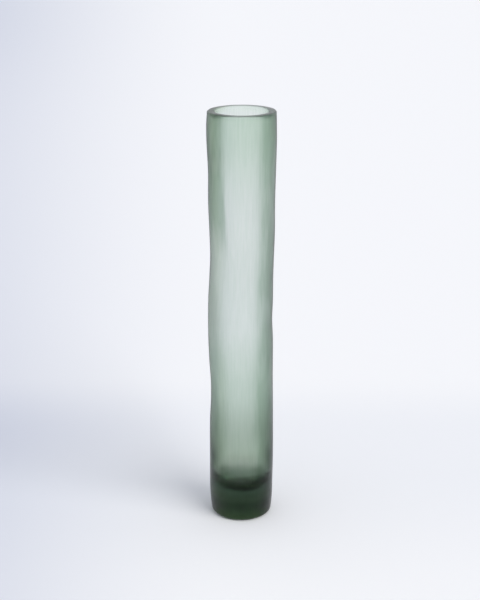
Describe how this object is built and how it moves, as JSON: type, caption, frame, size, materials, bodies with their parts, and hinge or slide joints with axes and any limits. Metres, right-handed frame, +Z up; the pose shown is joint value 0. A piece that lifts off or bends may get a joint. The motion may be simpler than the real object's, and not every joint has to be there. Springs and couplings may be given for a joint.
{
  "type": "cylinder vase",
  "caption": "Tall slim cylinder vase of satin grey-green glass, with an uneven wheel-worked wall, a flat ground lip and a thick solid base.",
  "frame": {"origin": "middle of the ground foot that the vase stands on", "axes": "+Z up through the mouth; +X to the right and +Y to the back in the view of the picture"},
  "size_m": [0.0678, 0.0674, 0.42],
  "materials": {
    "casing_glass": "wheel-ground satin outside, grey-green",
    "bubble_glass": "blown, smooth inside, paler grey-green"
  },
  "bodies": {
    "root": {"outer_casing": "casing_glass", "inner_bubble": "bubble_glass"}
  },
  "joints": []
}
